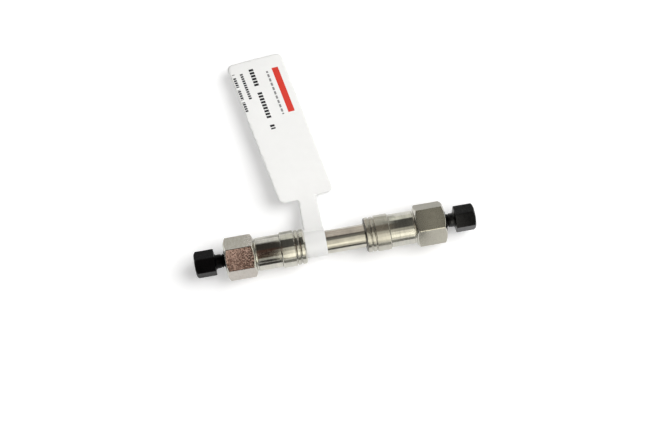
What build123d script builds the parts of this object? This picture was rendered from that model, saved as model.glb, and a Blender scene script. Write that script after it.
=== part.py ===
from build123d import *
import os
from math import cos, radians, sin, tan

# An analytical liquid-chromatography column: a short steel tube with a porous rod inside, a
# compression end fitting on each end, a closing plug in each port, and a flag label on the tube.
# Millimetres. The tube's axis is X and its middle is the origin. The outlet is at +X and +Z is up.
# Threads are plain cylinders at their major diameter.

# ---- driving dimensions ------------------------------------------------------------------------

# tube
tube_length = 50.0
tube_od = 7.94
tube_id = 4.6
tube_end_break = 0.2

# end fitting: hexagon, round barrel, and a threaded nose that the collar nut covers
hex_af = 12.7
hex_length = 10.3
hex_face_share = 0.91           # flat end face's diameter, over the hexagon's width
hex_chamfer_angle = 30.0
barrel_length = 8.6
barrel_step = 0.5               # radius of the barrel under the radius of the collar nut
barrel_edge_break = 0.2
barrel_relief_width = 0.6       # turned relief between barrel and hexagon
barrel_relief_depth = 0.15
tube_stop_to_hex = 1.85         # from the tube's end to the hexagon's inner face
nose_length = 3.85
nose_wall = 1.28                # thread radius over the tube's radius
nose_lead = 0.35

# collar nut
collar_length = 8.25
collar_wall = 0.85              # over the nose thread
collar_ring_step = 0.2          # rings under the band
collar_ring_widths = (1.25, 1.1)
collar_groove_width = 0.4
collar_groove_depth = 0.38
collar_front_length = 0.5
collar_front_drop = 0.6
collar_edge_break = 0.3

# ferrules
ferrule_angle = 20.0
ferrule_wall = 0.75
ferrule_cone_length = 1.85
ferrule_straight = 0.75
back_ferrule_flange = 0.7
back_ferrule_nose = 0.6
back_ferrule_nose_wall = 0.3

# frit and its seal ring
frit_thickness = 1.6

# port for a coned fitting, from the frit outwards
distribution_hole_d = 0.5
distribution_hole_length = 0.7
pilot_d = 1.6
pilot_length = 1.3
port_cone_angle = 21.0
port_cone_length = 1.6
port_thread_d = 4.83
port_lead = 0.3

# closing plug
plug_exposed_neck = 3.4
plug_head_af = 7.94
plug_head_length = 6.7
plug_head_face_share = 0.93
plug_shoulder_d = 6.2
plug_shoulder_length = 1.0
plug_tip_inset = 0.25           # the tip stops this far short of the cone's small end

# flag label: a loop round the tube, a neck, and a flag that droops and twists
label_thickness = 0.25
strap_width = 6.9
strap_inset = 0.05              # from the collar nut's front
neck_length = 13.3
neck_end_width = 6.2            # where it meets the flag
neck_root_radius = 0.8          # between the neck and the flag
flag_width = 19.05              # in plan, at the neck
flag_far_width = 19.8           # in plan, where the flag lies flatter
flag_length = 54.0
flag_corner_radius = 1.9
flag_lean = 10.4                # towards the inlet, in degrees from square to the tube
# (share of the way along the flag, height of its middle over the axis, roll in degrees)
flag_stations = ((0.0, -2.95, 19.0), (0.35, -3.6, 17.0), (0.7, -3.95, 15.0), (1.0, -4.2, 13.0))

# how each piece is turned about the axis, in degrees
inlet_fitting_turn = 18.6
outlet_fitting_turn = 0.0
inlet_plug_turn = 24.2
outlet_plug_turn = 25.4

# fits
slip_gap = 0.03                 # radial, between pieces that are assembled by hand
seat_gap = 0.02                 # between faces that are drawn up tight
thread_gap = 0.05               # radial, between mating threads
clear_gap = 0.08                # radial, where a bore only passes over the tube

# ---- sizes that follow -------------------------------------------------------------------------

tube_r = tube_od / 2
bore_r = tube_id / 2
nose_r = tube_r + nose_wall
collar_r = nose_r + collar_wall
barrel_r = collar_r - barrel_step
ferrule_r = tube_r + ferrule_wall
ring_r = (tube_r + bore_r) / 2
port_r = port_thread_d / 2
pilot_r = pilot_d / 2

tube_end = tube_length / 2
hex_start = tube_end + tube_stop_to_hex
hex_end = hex_start + hex_length
barrel_start = hex_start - barrel_length
nose_mouth = barrel_start - nose_length
collar_front = barrel_start - collar_length
frit_end = tube_end + frit_thickness
pilot_start = frit_end + distribution_hole_length
port_cone_start = pilot_start + pilot_length
port_cone_end = port_cone_start + port_cone_length
port_cone_r = pilot_r + port_cone_length * tan(radians(port_cone_angle))
plug_head_start = hex_end + plug_exposed_neck
ferrule_cone_start = nose_mouth + seat_gap
front_ferrule_back = ferrule_cone_start - ferrule_straight
collar_seat = front_ferrule_back - back_ferrule_flange - 2 * seat_gap


# ---- shapes ------------------------------------------------------------------------------------

def turned(*outline):
    """A solid of revolution about the X axis, from an outline of (x, radius) points."""
    return revolve(make_face(Polyline(*outline, close=True)), Axis.X)


def sleeve(start, end, inner_r, outer_r):
    """A plain ring from start to end along the X axis."""
    return turned((start, inner_r), (start, outer_r), (end, outer_r), (end, inner_r))


def hexagon_bar(start, length, across_flats, face_share, both_ends):
    """A hexagonal bar along X, one flat facing up, its corners turned off at one end or both."""
    end = start + length
    corner_r = across_flats / 2 / cos(radians(30))
    face_r = face_share * across_flats / 2
    run = (corner_r - face_r) * tan(radians(hex_chamfer_angle))
    bar = extrude(Plane.YZ.offset(start) * RegularPolygon(corner_r, 6), length)
    near_end = [(start, face_r), (start + run, corner_r)] if both_ends else [(start, corner_r)]
    return bar & turned((start, 0), *near_end, (end - run, corner_r), (end, face_r), (end, 0))


def column_tube():
    """The steel tube, bored through, with its outer ends broken."""
    half = tube_end
    return turned(
        (-half, bore_r), (-half, tube_r - tube_end_break), (-half + tube_end_break, tube_r),
        (half - tube_end_break, tube_r), (half, tube_r - tube_end_break), (half, bore_r),
    )


def monolith_bed():
    """The porous rod that fills the tube's bore."""
    return sleeve(-tube_end, tube_end, 0, bore_r - seat_gap)


def end_fitting():
    """Hexagon, barrel and threaded nose in one turned piece, with the whole flow path bored."""
    body = hexagon_bar(hex_start, hex_length, hex_af, hex_face_share, both_ends=True)
    relief_r = barrel_r - barrel_relief_depth
    relief_start = hex_start - barrel_relief_width
    body += turned(
        (nose_mouth, 0), (nose_mouth, nose_r - nose_lead), (nose_mouth + nose_lead, nose_r),
        (barrel_start, nose_r), (barrel_start, barrel_r - barrel_edge_break),
        (barrel_start + barrel_edge_break, barrel_r), (relief_start, barrel_r),
        (relief_start + barrel_relief_depth, relief_r), (hex_start, relief_r), (hex_start, 0),
    )
    tube_seat_r = tube_r + slip_gap
    mouth_r = ferrule_r + seat_gap
    cone_depth = (mouth_r - tube_seat_r) / tan(radians(ferrule_angle))
    pocket_r = ring_r + slip_gap
    hole_r = distribution_hole_d / 2
    flow_path = turned(
        (nose_mouth, 0), (nose_mouth, mouth_r), (nose_mouth + cone_depth, tube_seat_r),
        (tube_end, tube_seat_r), (tube_end, pocket_r), (frit_end, pocket_r),
        (frit_end, hole_r), (pilot_start, hole_r), (pilot_start, pilot_r),
        (port_cone_start, pilot_r), (port_cone_end, port_cone_r), (port_cone_end, port_r),
        (hex_end - port_lead, port_r), (hex_end, port_r + port_lead), (hex_end, 0),
    )
    return body - flow_path


def collar_nut():
    """The grooved round nut that draws the ferrules into the fitting's nose."""
    ring_outer_r = collar_r - collar_ring_step
    front_r = ring_outer_r - collar_front_drop
    rings_end = collar_front + collar_front_length
    groove_starts = []
    for width in collar_ring_widths:
        groove_starts.append(rings_end + width)
        rings_end += width + collar_groove_width
    nut = turned(
        (collar_front, 0), (collar_front, front_r),
        (collar_front + collar_front_length, ring_outer_r), (rings_end, ring_outer_r),
        (rings_end, collar_r), (barrel_start - collar_edge_break, collar_r),
        (barrel_start, collar_r - collar_edge_break), (barrel_start, 0),
    )
    for start in groove_starts:
        floor_r = ring_outer_r - collar_groove_depth
        nut -= sleeve(start, start + collar_groove_width, floor_r, collar_r)
    tube_pass_r = tube_r + clear_gap
    chamber_r = ferrule_r + clear_gap
    thread_r = nose_r + thread_gap
    thread_start = nose_mouth - thread_gap
    return nut - turned(
        (collar_front, 0), (collar_front, tube_pass_r), (collar_seat, tube_pass_r),
        (collar_seat, chamber_r), (thread_start, chamber_r), (thread_start, thread_r),
        (barrel_start, thread_r), (barrel_start, 0),
    )


def front_ferrule():
    """The cone that the nose swages onto the tube, hollowed at its back for the back ferrule."""
    grip_r = tube_r + seat_gap
    tip = ferrule_cone_start + ferrule_cone_length
    tip_r = ferrule_r - ferrule_cone_length * tan(radians(ferrule_angle))
    recess_r = grip_r + back_ferrule_nose_wall + seat_gap
    recess_end = front_ferrule_back + back_ferrule_nose
    return turned(
        (front_ferrule_back, recess_r), (front_ferrule_back, ferrule_r),
        (ferrule_cone_start, ferrule_r), (tip, tip_r), (tip, grip_r),
        (recess_end + seat_gap, grip_r),
    )


def back_ferrule():
    """The small flanged ring that the collar nut pushes, its nose under the front ferrule."""
    grip_r = tube_r + seat_gap
    back = collar_seat + seat_gap
    flange_end = front_ferrule_back - seat_gap
    return turned(
        (back, grip_r), (back, ferrule_r), (flange_end, ferrule_r),
        (flange_end, grip_r + back_ferrule_nose_wall),
        (front_ferrule_back + back_ferrule_nose - seat_gap, grip_r),
    )


def frit():
    """The porous disc over the end of the tube's bore."""
    return sleeve(tube_end + seat_gap, frit_end - seat_gap, 0, bore_r)


def frit_ring():
    """The seal ring round the frit, clamped between the tube's end and the pocket's floor."""
    return sleeve(tube_end + seat_gap, frit_end - seat_gap, bore_r + slip_gap, ring_r)


def port_plug():
    """The moulded closing plug: hexagon head, cone shoulder, thread and sealing tip."""
    shank_r = port_r - thread_gap
    shoulder_r = plug_shoulder_d / 2
    tip = port_cone_start + plug_tip_inset
    tip_r = pilot_r + plug_tip_inset * tan(radians(port_cone_angle)) - seat_gap
    cone_top_r = port_cone_r - seat_gap
    head = hexagon_bar(
        plug_head_start, plug_head_length, plug_head_af, plug_head_face_share, both_ends=False
    )
    return head + turned(
        (tip, 0), (tip, tip_r), (port_cone_end, cone_top_r),
        (port_cone_end + shank_r - cone_top_r, shank_r),
        (plug_head_start - plug_shoulder_length, shank_r), (plug_head_start, shoulder_r),
        (plug_head_start, 0),
    )


def tapered_strip(start_width, end_width, length):
    """A flat strip along Y from the origin."""
    a, b = start_width / 2, end_width / 2
    return make_face(Polyline((-a, 0), (a, 0), (b, length), (-b, length), close=True))


def flag_label():
    """One sheet: looped round the tube, stuck to itself behind it, and drooping as a flag."""
    loop_r = tube_r + slip_gap
    strap_middle = -collar_front + strap_inset + strap_width / 2
    loop = sleeve(
        strap_middle - strap_width / 2, strap_middle + strap_width / 2,
        loop_r, loop_r + label_thickness,
    )
    root = Location((strap_middle, 0, 0))
    neck_end = loop_r + neck_length
    lean = radians(flag_lean)
    # the plan outline, cut from a sheet that carries the droop and the twist
    neck = tapered_strip(strap_width, neck_end_width, neck_end + flag_corner_radius)
    flag = tapered_strip(flag_width, flag_far_width, flag_length)
    flag = Pos(0, neck_end) * Rot(0, 0, flag_lean) * fillet(flag.vertices(), flag_corner_radius)
    plan = neck + flag
    inner_corners = plan.vertices().sort_by_distance((0, neck_end, 0))[:2]
    plan = fillet(inner_corners, neck_root_radius)
    cutter = extrude(root * plan, flag_width, both=True)
    sheet_width = flag_width + flag_length     # wide enough to cover the leaning outline
    stations = [(-neck_end, 0.0, 0.0)]
    for share, height, roll in flag_stations:
        stations.append((share * flag_length, height, roll))
    sections = []
    for along, height, roll in stations:
        plane = Plane(
            origin=(strap_middle - along * sin(lean), neck_end + along * cos(lean), height),
            x_dir=(cos(lean), sin(lean), 0),
            z_dir=(-sin(lean), cos(lean), 0),
        )
        sections.append(plane * Rot(0, 0, roll) * Rectangle(sheet_width, label_thickness))
    sheet = (loft(sections) & cutter) - sleeve(-tube_end, tube_end, 0, loop_r)
    return loop + sheet


# ---- the column --------------------------------------------------------------------------------

def at_outlet(piece, turn=0.0):
    return Rot(turn, 0, 0) * piece


def at_inlet(piece, turn=0.0):
    """The same piece turned end for end."""
    return Rot(turn, 0, 0) * Rot(0, 0, 180) * piece


nodes = {
    "column_tube": column_tube(),
    "monolith_bed": monolith_bed(),
    "flag_label": flag_label(),
}
ends = {
    "inlet": (at_inlet, inlet_fitting_turn, inlet_plug_turn),
    "outlet": (at_outlet, outlet_fitting_turn, outlet_plug_turn),
}
for side, (place, fitting_turn, plug_turn) in ends.items():
    nodes[side + "_end_fitting"] = place(end_fitting(), fitting_turn)
    nodes[side + "_collar_nut"] = place(collar_nut())
    nodes[side + "_front_ferrule"] = place(front_ferrule())
    nodes[side + "_back_ferrule"] = place(back_ferrule())
    nodes[side + "_frit"] = place(frit())
    nodes[side + "_frit_ring"] = place(frit_ring())
    nodes[side + "_plug"] = place(port_plug(), plug_turn)

os.makedirs("parts", exist_ok=True)
for name, solid in nodes.items():
    export_step(solid, "parts/" + name + ".step")
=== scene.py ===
from math import atan2, cos, hypot, pi, radians, sin, sqrt, tan

import bpy
from mathutils import Matrix, Vector
from mathutils.geometry import delaunay_2d_cdt

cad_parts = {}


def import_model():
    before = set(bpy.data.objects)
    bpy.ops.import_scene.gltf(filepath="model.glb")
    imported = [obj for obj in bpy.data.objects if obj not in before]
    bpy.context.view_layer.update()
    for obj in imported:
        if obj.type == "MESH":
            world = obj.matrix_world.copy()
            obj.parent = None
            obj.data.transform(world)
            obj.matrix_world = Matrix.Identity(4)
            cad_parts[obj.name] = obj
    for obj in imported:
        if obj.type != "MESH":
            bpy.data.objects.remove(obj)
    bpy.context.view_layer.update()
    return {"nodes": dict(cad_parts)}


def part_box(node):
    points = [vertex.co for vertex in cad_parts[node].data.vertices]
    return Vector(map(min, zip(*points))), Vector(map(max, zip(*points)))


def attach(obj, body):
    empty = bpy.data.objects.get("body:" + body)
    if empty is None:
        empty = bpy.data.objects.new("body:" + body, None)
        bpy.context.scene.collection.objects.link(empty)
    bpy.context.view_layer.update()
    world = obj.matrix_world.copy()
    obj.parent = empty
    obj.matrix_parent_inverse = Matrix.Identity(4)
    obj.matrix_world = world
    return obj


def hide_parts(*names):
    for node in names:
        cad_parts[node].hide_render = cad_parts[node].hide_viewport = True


# A liquid-chromatography column on a white table. The CAD frame is in metres; the sizes below are
# in millimetres. The tube's axis is X, its middle is the origin, and +Z is up.
MM = 0.001

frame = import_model()


# ---- sizes, in millimetres -----------------------------------------------------------------------

def high_x(node):
    """The CAD node's far end along X."""
    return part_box(node)[1].x / MM


def low_x(node):
    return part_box(node)[0].x / MM


def radius(node):
    """The CAD node's half width across Y, which is the radius of a round piece."""
    low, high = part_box(node)
    return (high.y - low.y) / 2 / MM


tube_end = high_x("column_tube")
tube_r = radius("column_tube")

# end fitting
nose_mouth = low_x("outlet_end_fitting")
hex_end = high_x("outlet_end_fitting")
hex_af = 12.7
hex_length = 10.3
hex_start = hex_end - hex_length
hex_face_r = 0.91 * hex_af / 2
hex_chamfer = radians(30)
hex_softness = 0.25                 # how far a corner's rounding reaches
chamfer_softness = 0.2
hex_face_edge = 0.12                # the end faces' rounding: how far in it reaches
hex_face_edge_drop = 0.1            # and how much it takes off their radius
hex_foot_r = hex_face_r - 0.15
barrel_r = 5.6
barrel_edge_r = 0.2
barrel_relief_width = 0.6
barrel_relief_depth = 0.15
barrel_relief_edge_r = 0.05
nose_r = 5.25
nose_lead = 0.35
mouth_r = 4.74
tube_seat_r = 4.0
ferrule_seat_angle = radians(20)
frit_pocket_r = 3.165
frit_end = 26.6
distribution_hole_r = 0.25
pilot_start = 27.3
pilot_r = 0.8
port_cone_start = 28.6
port_cone_end = 30.2
port_cone_r = 1.414
port_lead = 0.3
port_rim_r = 3.6                    # the flat end face round the port
port_thread_runout = 0.6            # left plain above the cone

# collar nut
collar_front = low_x("outlet_collar_nut")
collar_r = radius("outlet_collar_nut")
barrel_start = high_x("outlet_collar_nut")
collar_ring_r = collar_r - 0.2
collar_front_r = collar_ring_r - 0.6
collar_front_length = 0.5
collar_ring_widths = (1.25, 1.1)
collar_groove_width = 0.4
collar_groove_depth = 0.38
collar_mouth_edge_r = 0.1
collar_front_edge_r = 0.15
collar_cone_edge_r = 0.2
collar_ring_edge_r = 0.16
collar_groove_fillet = 0.17
collar_band_edge_r = 0.12
collar_end_edge_r = 0.3
collar_tube_pass_r = 4.05
collar_seat = 12.91
ferrule_chamber_r = 4.8
collar_thread_r = 5.3

# port thread and plug
thread_pitch = 0.794
thread_depth = 0.4
thread_power = 0.8                  # below 1, the roots are wider than the crests
port_thread_r = 2.415
plug_thread_r = 2.365
plug_plain_r = 2.33
plug_tip = 28.85
plug_tip_r = 0.876
plug_tip_face_r = 0.3
plug_tip_edge_r = 0.12
plug_cone_top_r = 1.394
plug_cone_edge_r = 0.1
plug_thread_start = port_cone_end + 0.65
plug_root_r = plug_thread_r - thread_depth
plug_thread_end = 39.1
plug_head_start = 40.55
plug_head_end = high_x("outlet_plug")
plug_head_af = 7.94
plug_head_face_r = 0.93 * plug_head_af / 2
plug_head_chamfer = radians(35)
plug_head_softness = 0.22
plug_head_edge_r = 0.22             # where the flats meet the inner face
plug_head_inner_r = plug_head_af / 2 - 0.35
plug_face_edge = 0.2                # as for the fittings' end faces
plug_face_edge_drop = 0.16
plug_neck_fillet = 0.9
# the moulded dish in the head's end face, as (radius, depth)
plug_dish = ((2.7, 0.0), (2.45, 0.08), (2.3, 0.22), (2.0, 0.28), (0.6, 0.3))

# flag label
label_thickness = 0.25
strap_width = 6.9
strap_middle = -collar_front + 0.05 + strap_width / 2
loop_r = tube_r + 0.03
neck_start = 2.5                    # behind the axis, where the neck starts to fall
neck_end = loop_r + 13.3
neck_end_width = 6.2
flag_width = 19.05                  # in plan, at the neck
flag_far_width = 19.8
flag_length = 54.0
flag_corner_r = 1.9
neck_root_r = 0.8
flag_lean = radians(10.4)
flag_bow = 0.35                     # how far its middle stands over its edges at the far end
strap_fold_r = 0.7                  # the fillet where the loop turns into the neck
strap_lap = 0.6                     # how far the loop's piece runs on into the neck
# (share of the way along the flag, height of its middle, roll in degrees)
flag_stations = ((0.0, -2.95, 19.0), (0.35, -3.6, 17.0), (0.7, -3.95, 15.0), (1.0, -4.2, 13.0))

# how each piece is turned about the axis
fitting_turns = {"inlet": radians(18.6), "outlet": 0.0}
plug_turns = {"inlet": radians(24.2), "outlet": radians(25.4)}

# how finely the meshes are divided
chamfer_rings = 15
rings_per_turn = 10                 # of a thread
collar_steps = 128
sheet_spacing = 0.8

# the glow added to the table's white where the camera and the reflections see it
table_lift = 0.22

# the table under the column: it lies on the outlet hexagon's flat and the inlet hexagon's corner
table_touch_x = 36.8
table_touch_z = -hex_af / 2
table_slope = 0.01297
table_gap = 0.02


def table_height(x):
    return table_touch_z + table_slope * (x - table_touch_x) - table_gap


# ---- mesh helpers --------------------------------------------------------------------------------

def mesh_piece(name, points, faces, smooth=True):
    """A mesh object from points in millimetres."""
    mesh = bpy.data.meshes.new(name)
    mesh.from_pydata([Vector(p) * MM for p in points], [], faces)
    mesh.validate()
    piece = bpy.data.objects.new(name, mesh)
    bpy.context.scene.collection.objects.link(piece)
    mesh.polygons.foreach_set("use_smooth", [smooth] * len(mesh.polygons))
    return piece


def rounded(outline, arc_steps=4):
    """The outline's points, with each (x, r, corner radius) corner replaced by an arc."""
    made = []
    count = len(outline)
    for i, (x, r, corner) in enumerate(outline):
        here = Vector((x, r))
        if not corner:
            made.append(here)
            continue
        to_last = (Vector(outline[i - 1][:2]) - here)
        to_next = (Vector(outline[(i + 1) % count][:2]) - here)
        half = to_last.angle(to_next) / 2
        reach = corner / tan(half)
        to_last.normalize()
        to_next.normalize()
        centre = here + (to_last + to_next).normalized() * corner / sin(half)
        start = here + to_last * reach - centre
        end = here + to_next * reach - centre
        sweep = start.angle_signed(end)
        for step in range(arc_steps + 1):
            turn = Matrix.Rotation(-sweep * step / arc_steps, 2)
            made.append(centre + turn @ start)
    return made


def soft_min(a, b, softness):
    """The smaller of two radii, with the crossing rounded off."""
    near = max(softness - abs(a - b), 0) / softness
    return min(a, b) - near * near * softness / 4


def hexagon_r(angle, across_flats, softness):
    """The radius of a hexagon with corners at 0, 60, ... degrees, its corners softened."""
    step = radians(60)
    off = (angle % step) - step / 2
    half = across_flats / 2
    here = half / cos(off)
    beside = half / cos(off - step if off > 0 else off + step)
    return soft_min(here, beside, softness)


def hexagon_angles():
    """Angles round a hexagon, close together near its corners."""
    sector = (0, 0.7, 1.6, 3, 5.5, 9, 13.5, 19, 24.5, 30)
    half = [radians(a) for a in sector]
    turn = radians(60)
    one = half + [turn - a for a in reversed(half[1:-1])]
    return [turn * k + a for k in range(6) for a in one]


def even_angles(count):
    return [2 * pi * k / count for k in range(count)]


def place_at(side, turn):
    """From the outlet's own frame to the column's, as a 4 x 4 matrix."""
    spin = Matrix.Rotation(turn, 4, "X")
    return spin @ Matrix.Rotation(pi, 4, "Z") if side == "inlet" else spin


def ring_points(x, radius_at, angles):
    return [
        (x, radius_at(a) * cos(a), radius_at(a) * sin(a)) for a in angles
    ]


def skin(rings, loop):
    """Faces between rings of equal length. A loop also joins the last ring to the first."""
    count = len(rings[0])
    points = [p for ring in rings for p in ring]
    faces = []
    spans = len(rings) if loop else len(rings) - 1
    for i in range(spans):
        a, b = i * count, (i + 1) % len(rings) * count
        for k in range(count):
            n = (k + 1) % count
            faces.append((a + k, a + n, b + n, b + k))
    if not loop:
        faces.append(tuple(reversed(range(count))))
        last = (len(rings) - 1) * count
        faces.append(tuple(last + k for k in range(count)))
    return points, faces


def lathe_piece(name, rings, loop, matrix):
    points, faces = skin(rings, loop)
    piece = mesh_piece(name, [matrix @ Vector(p) for p in points], faces)
    outward(piece)
    weighted = piece.modifiers.new("even_flats", "WEIGHTED_NORMAL")
    weighted.keep_sharp = True
    return piece


def outward(piece):
    """Turns all the faces of a closed piece to look outwards."""
    mesh = piece.data
    volume = 0.0
    for face in mesh.polygons:
        points = [mesh.vertices[i].co for i in face.vertices]
        for k in range(1, len(points) - 1):
            volume += points[0].dot(points[k].cross(points[k + 1]))
    if volume < 0:
        mesh.flip_normals()


def chamfer_insets(across_flats, face_r, slope, reach):
    """Distances in from a hexagon's end face, close together near it, over the chamfer at its
    corners. The reach is how far they go, in lengths of that chamfer."""
    corner_r = across_flats / 2 / cos(radians(30))
    run = (corner_r - face_r) * tan(slope)
    last = chamfer_rings - 1
    return [run * reach * (k / last) ** 1.2 for k in range(chamfer_rings)]


def chamfered(across_flats, softness, cone_r):
    """The radius of a hexagon cut by its chamfer's cone, by angle."""
    return lambda a: soft_min(hexagon_r(a, across_flats, softness), cone_r, chamfer_softness)


def thread_r(crest_r, x, angle, fade):
    """The radius of a vee thread with rounded crests and roots, fading to its crest."""
    wave = 0.5 - 0.5 * cos(2 * pi * x / thread_pitch - angle)
    return crest_r - thread_depth * fade * wave ** thread_power


# ---- the steel pieces ----------------------------------------------------------------------------

def end_fitting(side):
    """Hexagon, barrel and nose, with the port's thread and the flow path bored through."""
    angles = hexagon_angles()
    cone_depth = (mouth_r - tube_seat_r) / tan(ferrule_seat_angle)
    relief_r = barrel_r - barrel_relief_depth
    relief_start = hex_start - barrel_relief_width
    outside = rounded((
        (nose_mouth, mouth_r, 0), (nose_mouth, nose_r - nose_lead, 0),
        (nose_mouth + nose_lead, nose_r, 0), (barrel_start, nose_r, 0),
        (barrel_start, barrel_r, barrel_edge_r), (relief_start, barrel_r, barrel_relief_edge_r),
        (relief_start + barrel_relief_depth, relief_r, barrel_relief_edge_r),
        (hex_start, relief_r, 0), (hex_start, hex_foot_r, 0),
    ))
    rings = [ring_points(x, lambda a, r=r: r, angles) for x, r in outside]
    steps = chamfer_insets(hex_af, hex_face_r, hex_chamfer, reach=1.25)
    xs = [hex_start + s for s in steps]
    xs += [hex_start + hex_length * share for share in (0.3, 0.5, 0.7)]
    xs += [hex_end - s for s in reversed(steps)]
    for x in xs:
        inset = min(x - hex_start, hex_end - x)
        cone_r = hex_face_r + inset / tan(hex_chamfer)
        # the end faces are rounded into the chamfer cones
        ease = max(0.0, 1 - inset / hex_face_edge)
        cone_r -= hex_face_edge_drop * ease * ease
        rings.append(ring_points(x, chamfered(hex_af, hex_softness, cone_r), angles))
    thread_start = hex_end - port_lead
    rings.append(ring_points(hex_end, lambda a: port_rim_r, angles))
    rings.append(ring_points(hex_end, lambda a: port_thread_r + port_lead, angles))
    thread_length = thread_start - port_cone_end - port_thread_runout
    count = int(thread_length / thread_pitch * rings_per_turn)
    for k in range(count + 1):
        x = thread_start - k * thread_pitch / rings_per_turn
        fade = min(1.0, k / rings_per_turn, (count - k) / rings_per_turn)
        rings.append(ring_points(
            x, lambda a, x=x, fade=fade: thread_r(port_thread_r, x, a, fade), angles
        ))
    inside = (
        (port_cone_end, port_thread_r), (port_cone_end, port_cone_r), (port_cone_start, pilot_r),
        (pilot_start, pilot_r), (pilot_start, distribution_hole_r),
        (frit_end, distribution_hole_r), (frit_end, frit_pocket_r), (tube_end, frit_pocket_r),
        (tube_end, tube_seat_r), (nose_mouth + cone_depth, tube_seat_r),
    )
    rings += [ring_points(x, lambda a, r=r: r, angles) for x, r in inside]
    name = side + "_end_fitting_turned"
    piece = lathe_piece(name, rings, True, place_at(side, fitting_turns[side]))
    # the six flats take the second finish, and the rest stays turned
    for face in piece.data.polygons:
        x, y, z = face.center / MM
        on_hexagon = abs(x) > hex_start and hypot(y, z) > port_rim_r
        faces_sideways = abs(face.normal.x) < 0.3
        face.material_index = int(on_hexagon and faces_sideways)
    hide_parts(side + "_end_fitting")
    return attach(piece, "column")


def collar_nut(side):
    """The round nut: a coned front, two rings with a groove behind each, and a plain band."""
    front_end = collar_front + collar_front_length
    groove_floor = collar_ring_r - collar_groove_depth
    outline = [
        (collar_front, collar_tube_pass_r, collar_mouth_edge_r),
        (collar_front, collar_front_r, collar_front_edge_r),
        (front_end, collar_ring_r, collar_cone_edge_r),
    ]
    x = front_end
    for width in collar_ring_widths:
        x += width
        outline += [
            (x, collar_ring_r, collar_ring_edge_r), (x, groove_floor, collar_groove_fillet),
            (x + collar_groove_width, groove_floor, collar_groove_fillet),
            (x + collar_groove_width, collar_ring_r, collar_ring_edge_r),
        ]
        x += collar_groove_width
    outline[-1] = (x, collar_r, collar_band_edge_r)
    outline += [
        (barrel_start, collar_r, collar_end_edge_r), (barrel_start, collar_thread_r, 0),
        (nose_mouth, collar_thread_r, 0), (nose_mouth, ferrule_chamber_r, 0),
        (collar_seat, ferrule_chamber_r, 0), (collar_seat, collar_tube_pass_r, 0),
    ]
    angles = even_angles(collar_steps)
    rings = [ring_points(x, lambda a, r=r: r, angles) for x, r in rounded(outline)]
    piece = lathe_piece(side + "_collar_nut_turned", rings, True, place_at(side, 0))
    # the coned front takes the second material, which on the outlet collar is a darker steel with
    # painted shade
    for face in piece.data.polygons:
        face.material_index = int(abs(face.center.x) / MM < front_end - 0.1)
    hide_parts(side + "_collar_nut")
    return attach(piece, "column")


def port_plug(side):
    """The moulded plug: sealing cone, thread, plain neck with a fillet, and hexagon head."""
    angles = hexagon_angles()
    seal = rounded((
        (plug_tip, plug_tip_face_r, 0), (plug_tip, plug_tip_r, plug_tip_edge_r),
        (port_cone_end, plug_cone_top_r, plug_cone_edge_r),
        (plug_thread_start - 0.1, plug_root_r, plug_cone_edge_r),
        (plug_thread_start - 0.05, plug_root_r, 0),
    ))
    rings = [ring_points(x, lambda a, r=r: r, angles) for x, r in seal]
    count = int((plug_thread_end - plug_thread_start) / thread_pitch * rings_per_turn)
    for k in range(count + 1):
        x = plug_thread_start + k * thread_pitch / rings_per_turn
        grow = min(1.0, k / rings_per_turn)
        crest = plug_thread_r - thread_depth * (1 - grow)
        fade = min(grow, (count - k) / rings_per_turn)
        rings.append(ring_points(
            x, lambda a, x=x, fade=fade, crest=crest: thread_r(crest, x, a, fade), angles
        ))
    fillet_start = plug_head_start - plug_neck_fillet
    fillet_steps = 6
    rings.append(ring_points(fillet_start, lambda a: plug_plain_r, angles))
    for k in range(1, fillet_steps + 1):
        turn = pi / 2 * k / fillet_steps
        x = fillet_start + plug_neck_fillet * sin(turn)
        r = plug_plain_r + plug_neck_fillet * (1 - cos(turn))
        rings.append(ring_points(x, lambda a, r=r: r, angles))
    rings.append(ring_points(plug_head_start, lambda a: plug_head_inner_r, angles))
    edge_steps = 5
    for k in range(1, edge_steps + 1):
        turn = pi / 2 * k / edge_steps
        inset = plug_head_edge_r * (1 - sin(turn))
        x = plug_head_start + plug_head_edge_r * (1 - cos(turn))
        rings.append(ring_points(
            x, lambda a, i=inset: hexagon_r(a, plug_head_af, plug_head_softness) - i, angles
        ))
    rings.append(ring_points(
        (plug_head_start + plug_head_end) / 2,
        lambda a: hexagon_r(a, plug_head_af, plug_head_softness), angles
    ))
    insets = chamfer_insets(plug_head_af, plug_head_face_r, plug_head_chamfer, reach=1.3)
    for inset in reversed(insets):
        cone_r = plug_head_face_r + inset / tan(plug_head_chamfer)
        ease = max(0.0, 1 - inset / plug_face_edge)
        cone_r -= plug_face_edge_drop * ease * ease
        rings.append(ring_points(
            plug_head_end - inset, chamfered(plug_head_af, plug_head_softness, cone_r), angles
        ))
    for r, depth in plug_dish:
        rings.append(ring_points(plug_head_end - depth, lambda a, r=r: r, angles))
    name = side + "_plug_moulded"
    piece = lathe_piece(name, rings, False, place_at(side, plug_turns[side]))
    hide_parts(side + "_plug")
    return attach(piece, side + "_plug")


# ---- the label -----------------------------------------------------------------------------------

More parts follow.
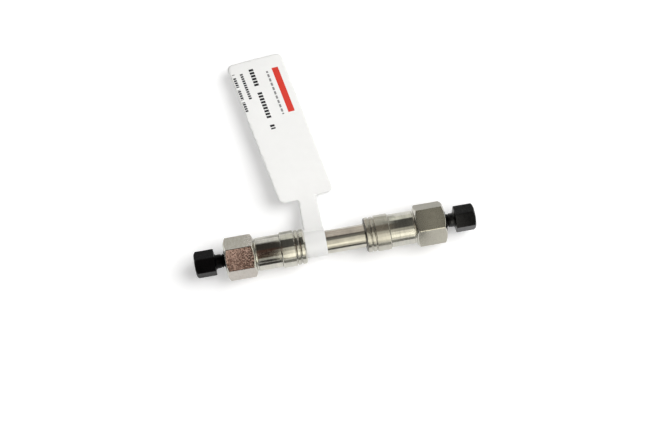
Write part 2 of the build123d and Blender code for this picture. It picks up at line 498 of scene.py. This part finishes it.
def smooth_between(stations, share):
    """The smooth curve through the stations' values, as a Catmull-Rom spline."""
    keys = [s[0] for s in stations]
    i = max(k for k in range(len(keys) - 1) if keys[k] <= share or k == 0)
    a, b = stations[i], stations[i + 1]
    before = stations[max(i - 1, 0)]
    after = stations[min(i + 2, len(stations) - 1)]
    t = (share - a[0]) / (b[0] - a[0])
    made = []
    for n in (1, 2):
        start_slope = (b[n] - before[n]) / max(b[0] - before[0], 1e-9) * (b[0] - a[0])
        end_slope = (after[n] - a[n]) / max(after[0] - a[0], 1e-9) * (b[0] - a[0])
        made.append(
            (2 * t ** 3 - 3 * t ** 2 + 1) * a[n] + (t ** 3 - 2 * t ** 2 + t) * start_slope
            + (3 * t ** 2 - 2 * t ** 3) * b[n] + (t ** 3 - t ** 2) * end_slope
        )
    return made


def on_flag(x, y):
    """A place in plan as distances across the flag, from its middle line, and along it, from
    its near edge."""
    dx, dy = x - strap_middle, y - neck_end
    along = -dx * sin(flag_lean) + dy * cos(flag_lean)
    across = dx * cos(flag_lean) + dy * sin(flag_lean)
    return across, along


def label_height(x, y):
    """The height of the label's middle surface at a place in plan."""
    across, along = on_flag(x, y)
    neck = -(neck_end - neck_start) / flag_length
    stations = ((neck, 0.0, 0.0),) + flag_stations
    share = max(along / flag_length, neck)
    height, roll = smooth_between(stations, share)
    # the film bows up across its width, more the farther out
    bow = flag_bow * (1 - (across / (flag_width / 2)) ** 2) * min(max(share, 0), 1)
    return height - across * tan(radians(roll)) + bow


def label_outline():
    """The neck and the flag in plan, as one closed outline, from the neck's right foot round."""
    end = Vector((strap_middle, neck_end))
    lean = Matrix.Rotation(flag_lean, 2)
    foot_y = loop_r + label_thickness * 0.8         # just inside the loop's film
    narrowing = (neck_end_width - strap_width) / 2 / (neck_end + flag_corner_r)

    def half_neck(y):
        return strap_width / 2 + narrowing * y

    def root(side):
        """Where the neck's edge meets the flag's near edge."""
        off = side * half_neck(neck_end) / (1 - side * narrowing * tan(flag_lean))
        return end.x + off, neck_end + off * tan(flag_lean)

    def flag_corner(across, along):
        return (*(end + lean @ Vector((across, along))), flag_corner_r)

    near, far = flag_width / 2, flag_far_width / 2
    return rounded((
        (end.x + half_neck(foot_y), foot_y, 0), (*root(1), neck_root_r),
        flag_corner(near, 0), flag_corner(far, flag_length),
        flag_corner(-far, flag_length), flag_corner(-near, 0),
        (*root(-1), neck_root_r), (end.x - half_neck(foot_y), foot_y, 0),
    ), arc_steps=8)


def is_inside(point, outline):
    """Whether a point lies in a closed outline, by counting the edges on one side of it."""
    hit = False
    for i, a in enumerate(outline):
        b = outline[i - 1]
        if (a.y > point.y) != (b.y > point.y):
            if point.x < (b.x - a.x) * (point.y - a.y) / (b.y - a.y) + a.x:
                hit = not hit
    return hit


def divided(outline, spacing):
    """The closed outline with its long sides divided."""
    made = []
    for i, a in enumerate(outline):
        b = outline[(i + 1) % len(outline)]
        parts = max(1, round((b - a).length / spacing))
        made += [a.lerp(b, k / parts) for k in range(parts)]
    return made


def flag_sheet():
    """The neck and the flag, a triangulated sheet laid over the label's heights."""
    outline = divided(label_outline(), sheet_spacing)
    low_y = min(p.y for p in outline)
    high_y = max(p.y for p in outline)
    left = min(p.x for p in outline)
    right = max(p.x for p in outline)
    points = list(outline)
    # rows of nearly equilateral triangles, kept clear of the outline's own points
    clear = 0.55 * sheet_spacing
    row = 0
    y = low_y + sheet_spacing / 2
    while y < high_y:
        x = left + (sheet_spacing / 2 if row % 2 else 0)
        while x < right:
            p = Vector((x, y))
            if is_inside(p, outline) and min((p - q).length for q in outline) > clear:
                points.append(p)
            x += sheet_spacing
        y += sheet_spacing * 0.866
        row += 1
    edges = [(i, (i + 1) % len(outline)) for i in range(len(outline))]
    flat, _, faces, *_ = delaunay_2d_cdt(points, edges, [], 1, 1e-4)
    lifted = [(p.x, p.y, label_height(p.x, p.y)) for p in flat]
    piece = mesh_piece("flag_label_sheet", lifted, [tuple(f) for f in faces])
    if piece.data.polygons[0].normal.z < 0:
        piece.data.flip_normals()
    # the print is placed in millimetres from the flag's left edge and its far edge
    plan = piece.data.uv_layers.new(name="plan")
    for loop in piece.data.loops:
        p = piece.data.vertices[loop.vertex_index].co / MM
        across, along = on_flag(p.x, p.y)
        plan.data[loop.index].uv = (across + flag_width / 2, flag_length - along)
    film = piece.modifiers.new("film", "SOLIDIFY")
    film.thickness = label_thickness * MM
    film.offset = 0
    film.use_rim = True
    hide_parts("flag_label")
    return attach(piece, "column")


def strap_loop():
    """The strap round the tube, its two ends meeting in the neck behind it."""
    outer = loop_r + label_thickness
    fold = strap_fold_r
    half = label_thickness / 2
    # the fillet between the loop and the neck: its centre is fold from both
    centre_z = half + fold
    centre_y = sqrt((outer + fold) ** 2 - centre_z ** 2)
    turn = atan2(centre_z, centre_y)
    fold_steps, outer_steps, inner_steps = 8, 72, 96
    neck_side = [(centre_y + strap_lap, half)]
    for k in range(fold_steps + 1):
        a = -pi / 2 - (pi / 2 - turn) * k / fold_steps
        neck_side.append((centre_y + fold * cos(a), centre_z + fold * sin(a)))
    outside = list(neck_side)
    for k in range(1, outer_steps):
        a = turn + (2 * pi - 2 * turn) * k / outer_steps
        outside.append((outer * cos(a), outer * sin(a)))
    outside += [(y, -z) for y, z in reversed(neck_side)]
    inside_ring = [(loop_r * cos(a), loop_r * sin(a)) for a in even_angles(inner_steps)]
    edges, points = [], []
    for ring in (outside, inside_ring):
        first = len(points)
        points += [Vector(p) for p in ring]
        edges += [(first + k, first + (k + 1) % len(ring)) for k in range(len(ring))]
    flat, _, faces, *_ = delaunay_2d_cdt(points, edges, [], 2, 1e-5)
    # the triangles that fill the hole go
    faces = [
        tuple(f) for f in faces
        if sum((flat[i] for i in f), Vector((0, 0))).length / len(f) > loop_r * 0.99
    ]
    count = len(flat)
    made = [(strap_middle + s * strap_width / 2, p.x, p.y) for s in (-1, 1) for p in flat]
    walls = []
    for ring, low in ((outside, 0), (inside_ring, len(outside))):
        for k in range(len(ring)):
            a, b = low + k, low + (k + 1) % len(ring)
            walls.append((a, b, b + count, a + count))
    ends = [tuple(reversed(f)) for f in faces] + [tuple(i + count for i in f) for f in faces]
    piece = mesh_piece("flag_label_loop", made, walls + ends)
    outward(piece)
    split = piece.modifiers.new("crisp_ends", "EDGE_SPLIT")
    split.split_angle = radians(50)
    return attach(piece, "column")


# ---- materials -----------------------------------------------------------------------------------

class Nodes:
    """A material's node tree, with short calls to add nodes and join them."""

    def __init__(self, name):
        self.material = bpy.data.materials.new(name)
        self.material.use_nodes = True
        self.tree = self.material.node_tree
        self.shader = self.tree.nodes["Principled BSDF"]

    def add(self, kind, inputs=None, **settings):
        node = self.tree.nodes.new("ShaderNode" + kind)
        for key, value in settings.items():
            setattr(node, key, value)
        for key, value in (inputs or {}).items():
            if isinstance(value, bpy.types.NodeSocket):
                self.tree.links.new(value, node.inputs[key])
            else:
                node.inputs[key].default_value = value
        return node

    def math(self, operation, a, b=0.0):
        return self.add("Math", {0: a, 1: b}, operation=operation).outputs[0]

    def vector(self, operation, inputs):
        return self.add("VectorMath", inputs, operation=operation).outputs[0]

    def mix(self, share, a, b):
        node = self.add("Mix", data_type="RGBA")
        for socket, value in ((node.inputs[0], share), (node.inputs[6], a), (node.inputs[7], b)):
            if isinstance(value, bpy.types.NodeSocket):
                self.tree.links.new(value, socket)
            else:
                socket.default_value = value
        return node.outputs[2]

    def noise(self, scale, detail=3.0, roughness=0.5, stretch=(1, 1, 1), offset=(0, 0, 0)):
        """Noise over the object, in features per millimetre, stretched along the axes."""
        where = self.add("TexCoord").outputs["Object"]
        placed = self.add("Mapping", {
            "Vector": where, "Scale": [s * scale / MM for s in stretch], "Location": offset,
        })
        node = self.add("TexNoise", {
            "Vector": placed.outputs[0], "Scale": 1.0, "Detail": detail, "Roughness": roughness,
        })
        return node.outputs["Fac"]

    def cells(self, scale, output):
        """Voronoi cells over the object, in cells per millimetre."""
        where = self.add("TexCoord").outputs["Object"]
        return self.add("TexVoronoi", {"Vector": where, "Scale": scale / MM}).outputs[output]

    def spread(self, value, low, high, to_low, to_high):
        """The value's range from low to high, taken to another range and kept within it."""
        node = self.add("MapRange", {
            "Value": value, "From Min": low, "From Max": high, "To Min": to_low, "To Max": to_high,
        })
        return node.outputs[0]

    def bump(self, height, depth_mm, below=None):
        inputs = {"Height": height, "Distance": depth_mm * MM, "Strength": 1.0}
        if below:
            inputs["Normal"] = below
        return self.add("Bump", inputs).outputs[0]

    def join(self, value, socket):
        self.tree.links.new(value, self.shader.inputs[socket])

    def fix(self, **values):
        for key, value in values.items():
            self.shader.inputs[key.replace("_", " ")].default_value = value


def steel(name, light, dark, roughness, lay, grain_depth, speckle_depth, facets=0.0, edge=1.0):
    """Machined steel: cutter marks along the lay, a fine speckle, and a little cloudiness.
    A blasted surface is also covered in small facets, each turned its own way. An edge below 1
    dulls the reflections at a glancing angle."""
    m = Nodes(name)
    cloud = m.noise(0.25, detail=3)
    grain = m.noise(6.0, detail=2, stretch=lay)
    streak = m.noise(1.6, detail=3, stretch=lay, offset=(3, 5, 7))
    speckle = m.noise(2.2, detail=4, roughness=0.65)
    tone = m.math("ADD", m.math("MULTIPLY", cloud, 0.5), m.math("MULTIPLY", streak, 0.5))
    colour = m.mix(m.spread(tone, 0.35, 0.65, 0, 1), dark, light)
    m.join(colour, "Base Color")
    rough = m.spread(m.math("ADD", grain, m.math("MULTIPLY", speckle, 0.6)), 0.5, 1.1,
                     roughness * 0.75, roughness * 1.3)
    m.join(rough, "Roughness")
    lines = m.bump(m.math("ADD", grain, m.math("MULTIPLY", streak, 0.7)), grain_depth)
    normal = m.bump(speckle, speckle_depth, below=lines)
    if facets:
        cells = m.cells(3.5, "Color")
        turned = m.vector("SUBTRACT", {0: cells, 1: (0.5, 0.5, 0.5)})
        turned = m.vector("SCALE", {0: turned, "Scale": facets})
        normal = m.vector("ADD", {0: normal, 1: turned})
        normal = m.vector("NORMALIZE", {0: normal})
    m.join(normal, "Normal")
    m.fix(Metallic=1.0, Specular_Tint=(edge, edge, edge, 1))
    return m.material


def plug_plastic(name, depth, gloss):
    """Satin black moulding with a fine spark-eroded texture."""
    m = Nodes(name)
    grain = m.noise(9.0, detail=2)
    cloud = m.noise(0.5, detail=2)
    dark, light = depth, depth * 2.2
    m.join(m.mix(cloud, (dark, dark, dark, 1), (light, light, light * 1.03, 1)), "Base Color")
    m.join(m.spread(m.math("ADD", grain, cloud), 0.6, 1.4, 0.22, 0.32), "Roughness")
    m.join(m.bump(grain, 0.006), "Normal")
    m.fix(IOR=1.45, Specular_IOR_Level=gloss)
    return m.material


def label_film(printed):
    """White polymer film with a faint mottle; the flag carries plain printed bars."""
    m = Nodes("printed_film" if printed else "plain_film")
    mottle = m.noise(0.35, detail=4)
    fine = m.noise(5.0, detail=2)
    paper = m.mix(mottle, (0.79, 0.79, 0.775, 1), (0.83, 0.83, 0.815, 1))
    if printed:
        place = m.add("UVMap", uv_map="plan").outputs[0]
        parts = m.add("SeparateXYZ", {0: place})
        across, along = parts.outputs[0], parts.outputs[1]
        red, grey, black = (0.62, 0.035, 0.02, 1), (0.22, 0.22, 0.22, 1), (0.012, 0.012, 0.014, 1)
        # (place across, half height, start, end, ink, word length, letter pitch), millimetres
        bars = (
            (15.5, 1.15, 4.9, 22.3, red, 0.0, 0.0),
            (12.4, 0.35, 5.6, 22.6, grey, 0.0, 1.7),
            (7.25, 0.8, 3.4, 27.0, black, 12.6, 1.15),
            (3.5, 0.5, 4.1, 14.3, black, 0.0, 0.85),
            (0.8, 0.5, 3.8, 19.4, black, 4.9, 0.85),
        )
        # only the upper side is printed
        top = m.add("NewGeometry").outputs["Normal"]
        faces_up = m.math("GREATER_THAN", m.add("SeparateXYZ", {0: top}).outputs[2], 0.3)
        for middle, half, start, end, ink, word, pitch in bars:
            off = m.math("ABSOLUTE", m.math("SUBTRACT", across, middle))
            mask = m.math("LESS_THAN", off, half)
            mask = m.math("MULTIPLY", mask, m.math("GREATER_THAN", along, start))
            mask = m.math("MULTIPLY", mask, m.math("LESS_THAN", along, end))
            for length, share in ((word, 0.82), (pitch, 0.72)):
                if length:
                    cycle = m.math("FRACT", m.math("DIVIDE", along, length))
                    mask = m.math("MULTIPLY", mask, m.math("LESS_THAN", cycle, share))
            paper = m.mix(m.math("MULTIPLY", mask, faces_up), paper, ink)
    m.join(paper, "Base Color")
    m.join(m.spread(fine, 0.3, 0.7, 0.42, 0.58), "Roughness")
    m.join(m.bump(m.math("ADD", fine, m.math("MULTIPLY", mottle, 2.0)), 0.012), "Normal")
    m.fix(IOR=1.45)
    return m.material


def porous(name, light, dark, roughness, metallic):
    """A sintered or polymer piece inside the column."""
    m = Nodes(name)
    grains = m.cells(9.0, "Distance")
    cloud = m.noise(1.2, detail=3)
    m.join(m.mix(m.math("MULTIPLY", grains, 1.4), dark, light), "Base Color")
    m.join(m.spread(cloud, 0.3, 0.7, roughness * 0.85, roughness * 1.15), "Roughness")
    m.join(m.bump(grains, 0.03), "Normal")
    m.fix(Metallic=metallic)
    return m.material


def table_white():
    """The table top: a matt white, lifted to pure white for the camera and in reflections."""
    m = Nodes("matt_white_table")
    cloud = m.noise(0.01, detail=2)
    m.join(m.mix(cloud, (0.93, 0.93, 0.93, 1), (0.95, 0.95, 0.95, 1)), "Base Color")
    m.fix(Roughness=1.0, Specular_IOR_Level=0.0, Emission_Color=(1, 1, 1, 1))
    path = m.add("LightPath").outputs
    seen = m.math("MAXIMUM", path["Is Camera Ray"], path["Is Glossy Ray"])
    seen = m.math("MAXIMUM", seen, path["Is Transmission Ray"])
    m.join(m.math("MULTIPLY", seen, table_lift), "Emission Strength")
    return m.material


def paint(piece, *materials):
    """Fills the piece's material slots and leaves its faces' slot numbers as they are."""
    for material in materials:
        piece.data.materials.append(material)


def paint_node(name, material):
    """A carried-over CAD node keeps its mesh and takes the new finish in every slot."""
    node = frame["nodes"][name]
    for slot in node.material_slots:
        slot.material = material
    if not node.material_slots:
        node.data.materials.append(material)


# ---- the column ----------------------------------------------------------------------------------

round_lay = (1.0, 0.08, 0.08)      # marks that run round the axis: fine along X
long_lay = (0.05, 1.0, 1.0)        # marks that run along the axis
turned_steel = steel("turned_steel_bright", (0.56, 0.55, 0.49, 1), (0.44, 0.43, 0.385, 1),
                     0.13, round_lay, 0.0025, 0.001)
tube_steel = steel("drawn_steel_bright", (0.57, 0.55, 0.485, 1), (0.43, 0.415, 0.37, 1),
                   0.15, long_lay, 0.005, 0.002)
satin_steel = steel("satin_steel", (0.41, 0.395, 0.34, 1), (0.365, 0.35, 0.30, 1),
                    0.24, (1.0, 0.3, 0.3), 0.002, 0.0025, edge=0.62)
plug_finishes = {
    "inlet": plug_plastic("satin_black_moulding", 0.0012, 0.09),
    "outlet": plug_plastic("satin_black_moulding_handled", 0.0015, 0.34),
}

blasted_steel = steel("blasted_steel_speckled", (0.46, 0.43, 0.39, 1), (0.40, 0.37, 0.335, 1),
                      0.14, (1.0, 0.3, 0.3), 0.002, 0.004, facets=0.16)
worn_steel = steel("turned_steel_worn", (0.49, 0.475, 0.42, 1), (0.43, 0.415, 0.365, 1),
                   0.2, round_lay, 0.002, 0.001)
# painted shade: a much darker steel for the outlet collar's coned front, standing in for the shade
# and dark reflections that fall there
shade_painted_steel = steel("turned_steel_painted_shade", (0.13, 0.125, 0.11, 1), (0.07, 0.065, 0.055, 1),
                      0.2, round_lay, 0.002, 0.001)
finishes = {
    "inlet": (turned_steel, blasted_steel, turned_steel, turned_steel),
    "outlet": (turned_steel, satin_steel, worn_steel, shade_painted_steel),
}

for side, (barrel, flats, collar, collar_front_face) in finishes.items():
    paint(end_fitting(side), barrel, flats)
    paint(collar_nut(side), collar, collar_front_face)
    paint(port_plug(side), plug_finishes[side])
label = flag_sheet()
paint(label, label_film(printed=True))
loop = strap_loop()
paint(loop, label_film(printed=False))

paint_node("column_tube", tube_steel)
ferrule_steel = steel("ferrule_steel", (0.6, 0.58, 0.53, 1), (0.5, 0.48, 0.44, 1),
                      0.22, round_lay, 0.003, 0.002)
sintered = porous("sintered_steel", (0.5, 0.48, 0.44, 1), (0.25, 0.24, 0.22, 1), 0.5, 1.0)
seal = porous("seal_polymer", (0.78, 0.74, 0.62, 1), (0.68, 0.63, 0.5, 1), 0.45, 0.0)
bed = porous("monolith_polymer", (0.86, 0.85, 0.8, 1), (0.76, 0.74, 0.68, 1), 0.75, 0.0)
for side in ("inlet", "outlet"):
    paint_node(side + "_front_ferrule", ferrule_steel)
    paint_node(side + "_back_ferrule", ferrule_steel)
    paint_node(side + "_frit", sintered)
    paint_node(side + "_frit_ring", seal)
paint_node("monolith_bed", bed)


# ---- table, reflectors and lamps -----------------------------------------------------------------

def table():
    """A wide white table top that the two hexagons lie on."""
    half = 3000
    square = ((-half, -half), (half, -half), (half, half), (-half, half))
    corners = [(x, y, table_height(x)) for x, y in square]
    piece = mesh_piece("table", corners, [(0, 1, 2, 3)], smooth=False)
    paint(piece, table_white())


def reflector(name, corners, colour, strength):
    """A glowing card that only the shiny surfaces see. A corner is (x, lean, distance): its place
    along the axis, its direction from straight up towards the front, and how far off it is."""
    points = []
    for x, lean, distance in corners:
        points.append((x, -distance * sin(radians(lean)), distance * cos(radians(lean))))
    card = mesh_piece(name, points, [(0, 1, 2, 3)], smooth=False)
    m = Nodes(name + "_glow")
    m.fix(Emission_Color=(*colour, 1), Emission_Strength=strength)
    m.fix(Base_Color=(0, 0, 0, 1), Specular_IOR_Level=0.0)
    paint(card, m.material)
    card.visible_camera = False
    card.visible_diffuse = False
    card.visible_shadow = False
    card.visible_transmission = False


def sun(name, towards, spread, strength):
    """A distant lamp in the given direction, whose disc is as wide as the spread in degrees."""
    data = bpy.data.lights.new(name, "SUN")
    data.energy = strength
    data.angle = radians(spread)
    lamp = bpy.data.objects.new(name, data)
    lamp.rotation_mode = "QUATERNION"
    lamp.rotation_quaternion = Vector(towards).to_track_quat("Z", "Y")
    lamp.visible_glossy = False         # the cards are what the steel reflects
    bpy.context.scene.collection.objects.link(lamp)


def world():
    """White walls under a dark ceiling."""
    made = bpy.data.worlds.new("studio")
    made.use_nodes = True
    tree = made.node_tree
    background = tree.nodes["Background"]
    where = tree.nodes.new("ShaderNodeTexCoord")
    parts = tree.nodes.new("ShaderNodeSeparateXYZ")
    ramp = tree.nodes.new("ShaderNodeValToRGB")
    tree.links.new(where.outputs["Generated"], parts.inputs[0])
    tree.links.new(parts.outputs[2], ramp.inputs[0])
    tree.links.new(ramp.outputs[0], background.inputs["Color"])
    # (height over the horizon, colour): plain wall below the first, ceiling above the second
    stops = ((radians(21), (1.0, 1.0, 1.0, 1)), (radians(34), (0.05, 0.045, 0.04, 1)))
    for element, (height, colour) in zip(ramp.color_ramp.elements, stops):
        element.position = sin(height)
        element.color = colour
    background.inputs["Strength"].default_value = 1.0
    bpy.context.scene.world = made


table()
world()
# Small cards close round the column, which only its shiny surfaces reflect. Along the axis they
# make zones, about one for each piece; round the axis they make bright and dark bands.
near = 60                       # how far the bands are from the axis
under = 30                      # and those at table height
cream, pale, pink = (1.0, 0.97, 0.86), (1.0, 1.0, 0.93), (1.0, 0.92, 0.86)
warm, red, green = (1.0, 0.72, 0.5), (1.0, 0.5, 0.35), (0.97, 1.0, 0.95)
rose, copper, peach = (1.0, 0.72, 0.62), (1.0, 0.62, 0.5), (1.0, 0.88, 0.74)
zones = {
    "inlet_end": (-60, -28.6), "inlet_hexagon": (-42.2, -28.6), "inlet_barrel": (-28.6, -18.4),
    "inlet_collar": (-18.4, -6), "tube": (-6, 13.6), "outlet_collar": (13.6, 22.9),
    "outlet_barrel": (22.9, 32.6), "outlet_hexagon": (32.6, 45.2), "outlet_end": (45.2, 75),
}


def bands(zone, leans, glows, colour, distance=near):
    """A row of cards that share their edges, from one lean to the next, each with its glow."""
    x0, x1 = zones[zone]
    for i, glow in enumerate(glows):
        low, high = leans[i], leans[i + 1]
        reflector(f"{zone}_{low:+d}", (
            (x0, low, distance), (x1, low, distance), (x1, high, distance), (x0, high, distance),
        ), colour, glow)


bands("inlet_hexagon", (-104, -78), (0.88,), green, under)
bands("inlet_hexagon", (-78, -60), (0.88,), green)
bands("inlet_end", (-12, 8, 22), (0.35, 1.0), rose)
bands("inlet_hexagon", (22, 50), (0.36,), copper)
bands("inlet_barrel", (-8, 8), (0.07,), red)
bands("inlet_barrel", (8, 24), (0.03,), red)
bands("inlet_barrel", (24, 45), (0.07,), warm)
bands("inlet_barrel", (45, 59), (0.55,), pale)
bands("inlet_barrel", (59, 76), (0.02,), pale)
bands("inlet_barrel", (76, 98), (0.06,), pale, under)
bands("inlet_collar", (-88, -48), (1.0,), pale)
bands("inlet_collar", (-48, 4), (0.11,), pale)
bands("inlet_collar", (4, 24, 44, 66, 78), (0.85, 1.45, 2.1, 0.9), cream)
bands("inlet_collar", (78, 99), (0.3,), pale, under)
bands("tube", (-100, -60), (0.75,), pink, under)
bands("tube", (-60, -31, -14), (0.82, 0.16), pink)
bands("tube", (-14, 3), (0.27,), pale)
bands("tube", (3, 24, 44, 62, 78), (0.95, 1.25, 1.85, 0.75), cream)
bands("tube", (78, 99), (0.1,), pale, under)
bands("outlet_collar", (-100, -70), (0.7,), pale, under)
bands("outlet_collar", (-70, -32), (0.6,), pale)
bands("outlet_collar", (-32, 8), (0.31,), peach)
bands("outlet_collar", (8, 24, 44, 64, 78), (0.85, 1.4, 1.65, 1.15), cream)
bands("outlet_collar", (78, 99), (0.4,), pale, under)
bands("outlet_barrel", (-88, -52), (1.0,), pale)
bands("outlet_barrel", (-52, 7), (0.1,), pale)
bands("outlet_barrel", (7, 24, 44, 64, 78), (0.62, 1.3, 2.0, 1.1), cream)
bands("outlet_barrel", (78, 97), (0.3,), pale, under)
bands("outlet_hexagon", (-35, 14), (0.54,), cream)
bands("outlet_hexagon", (30, 84), (3.2,), cream)
bands("outlet_end", (-104, -60), (0.35,), pale)
# two large cards past the ends
reflector("inlet_side", (
    (-200, -88, 500), (-200, -40, 300), (-200, 40, 300), (-200, 88, 500),
), cream, 0.1)
reflector("outlet_side", (
    (250, -88, 400), (250, -20, 60), (250, 20, 60), (250, 88, 400),
), cream, 2.5)
sun("key", (0.6, 0.02, 0.8), 49, 2.31)
sun("fill", (-0.1, -0.45, 1.0), 50, 0.57)


# ---- camera --------------------------------------------------------------------------------------

camera_target = Vector((-1.84, 8.82, 0.0)) * MM
camera_distance = 450 * MM
camera_tilt = radians(15.09)          # from straight above, towards the front
camera_yaw = radians(1.93)            # towards the inlet
camera_roll = radians(10.05)
focal_length_px = 1342.6              # in a picture this wide:
picture_width_px = 650

towards = Vector((
    -sin(camera_yaw), -sin(camera_tilt) * cos(camera_yaw), cos(camera_tilt) * cos(camera_yaw)
))
across = Vector((1, 0, 0))
across = (across - towards * across.dot(towards)).normalized()
down = across.cross(towards)
right = across * cos(camera_roll) + down * sin(camera_roll)
up = across * sin(camera_roll) - down * cos(camera_roll)
camera_data = bpy.data.cameras.new("camera")
camera_data.sensor_width = 36
camera_data.lens = focal_length_px * camera_data.sensor_width / picture_width_px
camera_data.clip_start = 0.01
camera_data.clip_end = 100
camera = bpy.data.objects.new("camera", camera_data)
axes = Matrix((right, up, towards)).transposed().to_4x4()
camera.matrix_world = Matrix.Translation(camera_target + towards * camera_distance) @ axes
bpy.context.scene.collection.objects.link(camera)
bpy.context.scene.camera = camera
bpy.context.scene.view_settings.view_transform = "Standard"
